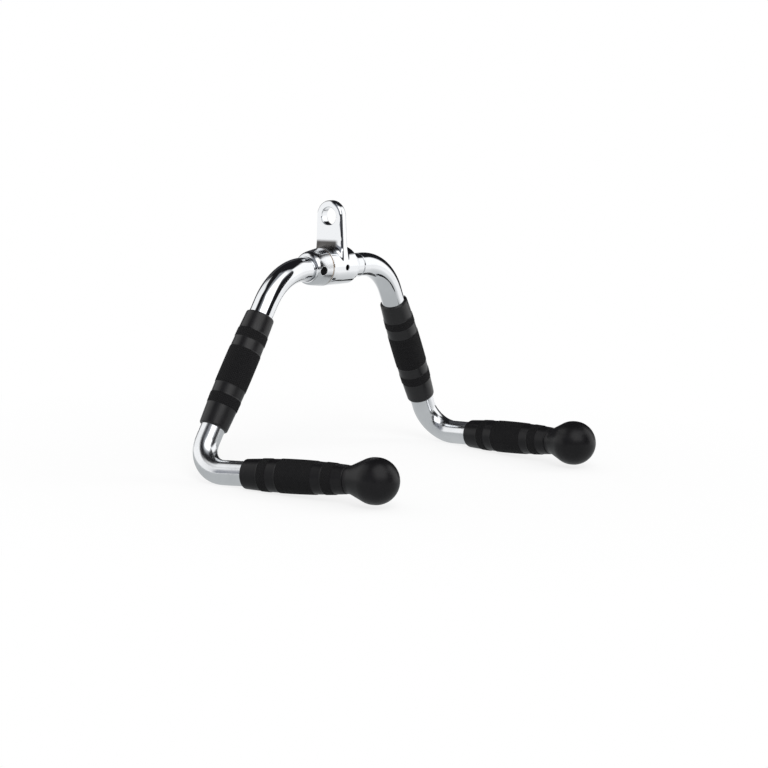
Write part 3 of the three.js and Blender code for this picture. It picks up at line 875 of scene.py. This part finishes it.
def painted_corner_shade(places):
    """How strong the painted shade is at places on the hanger: 1 less than the reach from a line
    along Y just over the sleeve, by the hypotenuse of the drawn in distance beside the lug and the
    height, and 0 past it, on the lug's edges and at the front."""
    x, y, z = places.T
    beside = np.abs(x) - LUG_HALF
    far = np.hypot(SHADE_SIDEWAYS * beside, z - SHADE_HEIGHT)
    share = np.clip((SHADE_REACH - far) / SHADE_FADE, 0, 1) * np.clip(beside + 1, 0, 1)
    return share * np.clip((y + SHADE_FRONT) / SHADE_FRONT_FADE, 0, 1)


def cap_shape(x, y, z):
    """A ring that starts flush with the sleeve and runs down to the tube, its centre with it,
    along (1 - taper t) sqrt(1 - t^power) of its length, less its bore and the hole of the set
    screw. The distance from its outside is the one across it over the length of its slope."""
    from_face = -JOINT_FACE - x
    t = np.clip(from_face / CAP_LENGTH, 0, 1)
    taper, end = 1 - CAP_TAPER * t, np.sqrt(np.maximum(1 - t ** CAP_END_POWER, CAP_END_LEAST))
    share = taper * end
    drop = SLEEVE_RADIUS - CAP_LIP_RADIUS
    fall = taper * (CAP_END_POWER / 2) * t ** (CAP_END_POWER - 1) / end
    slope = np.hypot(1, drop * (CAP_TAPER * end + fall) / CAP_LENGTH)
    nose = (np.hypot(y, z - SLEEVE_RISE * share) - CAP_LIP_RADIUS - drop * share) / slope
    ring = common(nose, np.maximum(-from_face, from_face - CAP_LENGTH), CAP_EDGE)
    ring = common(ring, SLEEVE_FIT - np.hypot(y, z), CAP_EDGE)
    hole = SCREW_RADIUS + FIT_GAP - np.hypot(x - SCREW_PLACE, z)
    return common(ring, np.where(y < 0, hole, -SLEEVE_RADIUS), ROUND_EDGE)


def screw_shape(x, y, z):
    """A short cylinder across the hub with a six sided socket, the overlap of three slabs, in
    its outer end."""
    across = x - SCREW_PLACE
    ends = np.maximum(SCREW_TIP + y, -y - SCREW_HEAD)
    body = common(np.hypot(across, z) - SCREW_RADIUS, ends, SCREW_EDGE)
    turns = SOCKET_TURN, SOCKET_TURN + ROUND / 6, SOCKET_TURN + ROUND / 3
    slabs = [np.abs(across * math.cos(t) + z * math.sin(t)) for t in turns]
    socket = np.maximum(np.max(slabs, axis=0) - SOCKET_HALF, SCREW_HEAD - SOCKET_DEPTH + y)
    return common(body, -socket, SOCKET_EDGE)


def slope_of(shape, points, reach):
    """How a shape's value changes along x, y and z at the points."""
    steps = np.eye(3) * reach
    return np.stack([
        (shape(*(points + step).T) - shape(*(points - step).T)) / (2 * reach) for step in steps
    ], axis=-1)


def net_mesh(name, shape, low, high, step, lean):
    """The surface on which shape(x, y, z) is zero. Every cell of a grid that the surface passes
    through has one point, the mean of where it crosses the cell's edges, slid along the slope
    onto the surface. Every crossed edge has a quad through the four cells round it."""
    axes = [np.arange(lo - NET_START * step, hi + 2 * step, step) for lo, hi in zip(low, high)]
    reach = step / NET_SHARES
    corners = np.stack(np.meshgrid(*axes, indexing="ij"), axis=-1)
    values = shape(corners[..., 0], corners[..., 1], corners[..., 2])
    inside = values < 0
    cells = [n - 1 for n in values.shape]
    sums, counts = np.zeros(cells + [3]), np.zeros(cells, int)
    crossed = []
    for axis in range(3):
        first = tuple(slice(0, -1) if a == axis else slice(None) for a in range(3))
        second = tuple(slice(1, None) if a == axis else slice(None) for a in range(3))
        crossing = inside[first] != inside[second]
        change = np.where(crossing, values[first] - values[second], 1)
        place = corners[first] + (values[first] / change * step)[..., None] * np.eye(3)[axis]
        place = place * crossing[..., None]
        for i, j in ((0, 0), (0, 1), (1, 0), (1, 1)):
            shift = [i, j]
            shift.insert(axis, 0)
            part = tuple(slice(s, s + n) for s, n in zip(shift, cells))
            sums += place[part]
            counts += crossing[part]
        crossed.append((np.argwhere(crossing), inside[first][crossing]))
    used = counts > 0
    points = sums[used] / counts[used][:, None]
    for _ in range(NET_SLIDES):
        slope = slope_of(shape, points, reach)
        steepness = np.maximum((slope ** 2).sum(-1), LEAST_STEEPNESS)
        slide = -(shape(*points.T) / steepness)[:, None] * slope
        far = np.maximum(np.linalg.norm(slide, axis=-1, keepdims=True), 1e-9)
        points += slide * np.minimum(1, NET_LONGEST_SLIDE * step / far)
    number = np.full(cells, -1)
    number[used] = np.arange(len(points))
    quads = []
    for axis, (edges, first_inside) in enumerate(crossed):
        b, c = (axis + 1) % 3, (axis + 2) % 3
        ring = []
        for i, j in ((-1, -1), (0, -1), (0, 0), (-1, 0)):
            cell = edges.copy()
            cell[:, b] += i
            cell[:, c] += j
            ring.append(number[tuple(cell.T)])
        ring = np.stack(ring, axis=-1)
        quads.append(np.where(first_inside[:, None], ring, ring[:, ::-1]))
    mesh = bpy.data.meshes.new(name)
    mesh.from_pydata(stood(points, lean).tolist(), [], np.concatenate(quads).tolist())
    mesh.polygons.foreach_set("use_smooth", np.ones(len(mesh.polygons), bool))
    normals = slope_of(shape, points, reach)
    normals /= np.maximum(np.linalg.norm(normals, axis=-1, keepdims=True), 1e-9)
    mesh.normals_split_custom_set_from_vertices(turned(normals, lean).tolist())
    return mesh


def places_on(items, what, lean):
    """Where a mesh's points or faces lie, in millimetres about the hub: stood, undone."""
    places = np.zeros(3 * len(items))
    items.foreach_get(what, places)
    return turned(places.reshape(-1, 3) - hinge, -lean) * 1000


hanger = net_mesh(
    "swivel_hanger", hanger_shape,
    (-HUB_END, -SLEEVE_RADIUS, -HUB_RADIUS),
    (HUB_END, SLEEVE_RADIUS, EYE_HEIGHT + EYE_OUTER_RADIUS),
    HANGER_CELL, hanger_lean,
)
# Painted shade in the corner between sleeve and lug, stored on the hanger's points
corner_shade_share = painted_corner_shade(places_on(hanger.vertices, "co", hanger_lean))
hanger.attributes.new("corner_shade_share", "FLOAT", "POINT").data.foreach_set("value", corner_shade_share)
dress(hanger, [forged_chrome], "hanger", "swivel_hanger")
cap = net_mesh(
    "left_lock_cap", cap_shape,
    (-JOINT_FACE - CAP_LENGTH, -SLEEVE_RADIUS, -HUB_RADIUS),
    (-JOINT_FACE, SLEEVE_RADIUS, SLEEVE_RADIUS + SLEEVE_RISE),
    CAP_CELL, arms_lean,
)
# Painted shade: the cap round the set screw's hole gets black oxide steel instead of plate
x, y, z = places_on(cap.polygons, "center", arms_lean).T
shaded_hole_radius = SCREW_RADIUS + FIT_GAP + SHADED_HOLE_RIM
in_hole = (y < 0) & (np.hypot(x - SCREW_PLACE, z) < shaded_hole_radius)
cap.polygons.foreach_set("material_index", in_hole.astype(np.int32))
dress(cap, [satin_chrome, oxide_steel_and_shade], "frame", "left_lock_cap")
screw = net_mesh(
    "cap_set_screw", screw_shape,
    (SCREW_PLACE - SCREW_RADIUS, -SCREW_HEAD, -SCREW_RADIUS),
    (SCREW_PLACE + SCREW_RADIUS, -SCREW_TIP, SCREW_RADIUS),
    SCREW_CELL, arms_lean,
)
dress(screw, [oxide_steel_and_shade], "frame", "cap_set_screw")
for label in ("left", "right"):
    for node in (label + "_tube_end_insert", label + "_ball_stud"):
        for place in frame["nodes"][node].material_slots:
            place.material = bare_steel


def seen(finish):
    """1 for rays from the camera, from gloss and through glass, and 0 for the light that falls
    on things."""
    rays = [
        finish.node("ShaderNodeLightPath", output=name)
        for name in ("Is Camera Ray", "Is Glossy Ray", "Is Transmission Ray")
    ]
    return rays[0].most(rays[1].most(rays[2]))


# The studio, in metres: the share of the white surroundings that lights things, the floor's
# half side and paper, how much it glows near the handle, between which distances it opens to
# white, the point that lamps and sheets are set round, and the rows of points in the sheets
AMBIENT = 0.62
FLOOR_HALF = 14.0
PAPER = (0.92, 0.92, 0.92, 1), (0.95, 0.95, 0.95, 1)
FLOOR_GLOW = 0.8
FLOOR_OPENS = 0.22, 0.6
MIDDLE = np.array([0.0, 0.0, 0.12])
SHEET_ROWS = 41, 25
LEVEL_SHEET_ROWS = 17


def make_floor():
    """A wide pale sheet under the handle. What is seen of it glows white, least close to the
    handle, where it keeps a soft shadow, and fully where it meets the white behind it."""
    material, f = new_material("floor")
    pale = f.blend(f.noise(9, 3), *PAPER)
    sheet = f.node("ShaderNodeBsdfPrincipled", None, {
        "Base Color": pale, "Roughness": 0.9, "Specular IOR Level": 0.1,
    })
    glow = f.node("ShaderNodeEmission", None, {"Color": (1, 1, 1, 1), "Strength": 1.0})
    far = f.node("ShaderNodeVectorMath", {"operation": "LENGTH"}, {0: f.place()}, output="Value")
    open_floor = f.between(far, *FLOOR_OPENS)
    share = (FLOOR_GLOW + (1 - FLOOR_GLOW) * open_floor) * seen(f)
    mixed = f.node("ShaderNodeMixShader", None, {0: share, 1: sheet, 2: glow})
    f.node("ShaderNodeOutputMaterial", None, {"Surface": mixed})
    mesh = bpy.data.meshes.new("floor")
    signs = (-1, -1), (1, -1), (1, 1), (-1, 1)
    corners = [(u * FLOOR_HALF, v * FLOOR_HALF, 0) for u, v in signs]
    mesh.from_pydata(corners, [], [(0, 1, 2, 3)])
    mesh.materials.append(material)
    floor = put("floor", mesh)


def make_card(name, points, shade, rims):
    """A sheet of the studio round the handle that only gloss sees, from a grid of points. Its
    brightness fades out over a share of its width at each of its four sides."""
    rows, columns = points.shape[:2]
    mesh = bpy.data.meshes.new(name)
    mesh.from_pydata(points.reshape(-1, 3).tolist(), [], grid_faces(rows, columns).tolist())
    layer = mesh.uv_layers.new(name="wrap")
    corners = np.zeros(len(mesh.loops), np.int32)
    mesh.loops.foreach_get("vertex_index", corners)
    u, v = np.meshgrid(np.linspace(0, 1, rows), np.linspace(0, 1, columns), indexing="ij")
    flat = np.stack([u, v], axis=-1).reshape(-1, 2)[corners].astype(np.float32)
    layer.data.foreach_set("uv", flat.ravel())
    material, f = new_material(name)
    u_wire, v_wire = f.wrap()
    share = 1.0
    for wire, rim in zip((u_wire, 1 - u_wire, v_wire, 1 - v_wire), rims):
        if rim > 0:
            share = f.between(wire, 0, rim) * share
    light = f.node("ShaderNodeEmission", None, {"Color": (*shade, 1), "Strength": 1.0})
    clear = f.node("ShaderNodeBsdfTransparent")
    mixed = f.node("ShaderNodeMixShader", None, {0: share, 1: clear, 2: light})
    f.node("ShaderNodeOutputMaterial", None, {"Surface": mixed})
    mesh.materials.append(material)
    card = put(name, mesh)
    card.visible_camera = card.visible_diffuse = card.visible_shadow = False
    card.visible_transmission = card.visible_volume_scatter = False


def round_about(azimuths, elevations, far):
    """A patch of a sphere round the middle: far * (sin a cos e, -cos a cos e, sin e). Azimuth 0
    is in front of the handles and 90 on the right."""
    a = np.radians(np.linspace(*azimuths, SHEET_ROWS[0]))[:, None]
    e = np.radians(np.linspace(*elevations, SHEET_ROWS[1]))[None, :]
    points = [np.sin(a) * np.cos(e), -np.cos(a) * np.cos(e), np.sin(e) + 0 * a]
    return MIDDLE + far * np.stack(points, axis=-1)


def level_sheet(first, last, height):
    """Level points between two sides, each given by its two ends in plan: along each side by
    the share u, and from the first to the last side by the share v."""
    shares = np.linspace(0, 1, LEVEL_SHEET_ROWS)
    u, v = np.meshgrid(shares, shares, indexing="ij")
    u, v = u[..., None], v[..., None]
    first = (1 - u) * np.array(first[0]) + u * np.array(first[1])
    last = (1 - u) * np.array(last[0]) + u * np.array(last[1])
    return np.concatenate([(1 - v) * first + v * last, np.full_like(u, height)], axis=-1)


# The studio as the plating shows it. Each sheet: azimuths and elevations in degrees, distance,
# shade, and the soft share of its width at its left, right, lower and upper side.
WHITE, BRIGHT, BLACK = (1.0, 1.0, 1.0), (1.15, 1.15, 1.15), (0.012, 0.012, 0.014)
STUDIO = {
    "room": ((-180, 180), (-1, 90), 8.0, (0.27, 0.28, 0.30), (0, 0, 0, 0)),
    "back_cloth": ((158, 244), (-1, 44), 7.6, WHITE, (0.15, 0.08, 0, 0.2)),
    "side_cloth": ((122, 175), (-1, 44), 7.5, (0.05, 0.05, 0.055), (0.12, 0.12, 0, 0.2)),
    "left_cloth": ((-124, -62), (-1, 36), 7.5, (0.23, 0.24, 0.27), (0.1, 0.2, 0, 0.25)),
    "ceiling": ((34, 284), (36, 90), 7.2, BLACK, (0.04, 0.08, 0.1, 0.1)),
    "high_cloth": ((176, 234), (34, 58), 7.1, WHITE, (0.2, 0.15, 0, 0.25)),
    "right_gap": ((71, 130), (-1, 58), 7.0, BLACK, (0.1, 0.1, 0, 0.2)),
    "front_gap": ((-10, 37), (-1, 50), 6.6, BLACK, (0.3, 0.02, 0, 0.3)),
    "front_side": ((-84, -8), (-1, 17), 7.3, BLACK, (0.2, 0.2, 0, 0.4)),
    "white_card": ((36, 83), (-1, 52), 6.4, BRIGHT, (0.02, 0.18, 0, 0.12)),
    "upper_card": ((-16, 42), (43, 74), 6.5, BRIGHT, (0.25, 0.3, 0.1, 0.3)),
}

# Two level sheets: a soft box that hangs low over the handle's front left, and the grey table
# near the handle. Each: two sides in plan, height, shade, and the soft shares as above.
LEVEL_SHEETS = {
    "soft_box": (
        ((-0.66, 0.02), (0.1, -0.12)), ((-2.6, -1.9), (0.12, -2.5)), 0.9,
        (1.6, 1.6, 1.6), (0.12, 0.12, 0.08, 0.1),
    ),
    "near_table": (
        ((-0.7, -1.0), (0.52, -1.0)), ((-0.7, 0.7), (0.52, 0.7)), 0.0004,
        (0.48, 0.495, 0.5), (0.3, 0.3, 0.3, 0.2),
    ),
}

# The lamps, which gloss doesn't see: place, side and watts
LAMPS = {
    "key_lamp": ((-3.6, -3.4, 5.0), 3.0, 210),
    "fill_lamp": ((4.6, -3.0, 3.4), 3.0, 90),
}


def make_studio():
    """All sheets, round and level."""
    for name, (azimuths, elevations, far, shade, rims) in STUDIO.items():
        make_card(name, round_about(azimuths, elevations, far), shade, rims)
    for name, (first, last, height, shade, rims) in LEVEL_SHEETS.items():
        make_card(name, level_sheet(first, last, height), shade, rims)


def make_lamp(name, place, size, power):
    """A square soft lamp turned to the middle."""
    light = bpy.data.lights.new(name, "AREA")
    light.shape = "SQUARE"
    light.size = size
    light.energy = power
    lamp = put(name, light)
    lamp.location = place
    aim = Vector(MIDDLE) - Vector(place)
    lamp.rotation_euler = aim.to_track_quat("-Z", "Y").to_euler()
    lamp.visible_camera = lamp.visible_glossy = False


def make_world():
    """White all round where it is seen, and a share of it for the light on things."""
    world = bpy.data.worlds.new("studio")
    bpy.context.scene.world = world
    f = Finish(world)
    strength = AMBIENT + (1 - AMBIENT) * seen(f)
    air = f.node("ShaderNodeBackground", None, {"Color": (1, 1, 1, 1), "Strength": strength})
    f.node("ShaderNodeOutputWorld", None, {"Surface": air})


make_floor()
make_world()
make_studio()
for name, (place, size, power) in LAMPS.items():
    make_lamp(name, place, size, power)
bpy.context.scene.view_settings.view_transform = "Standard"
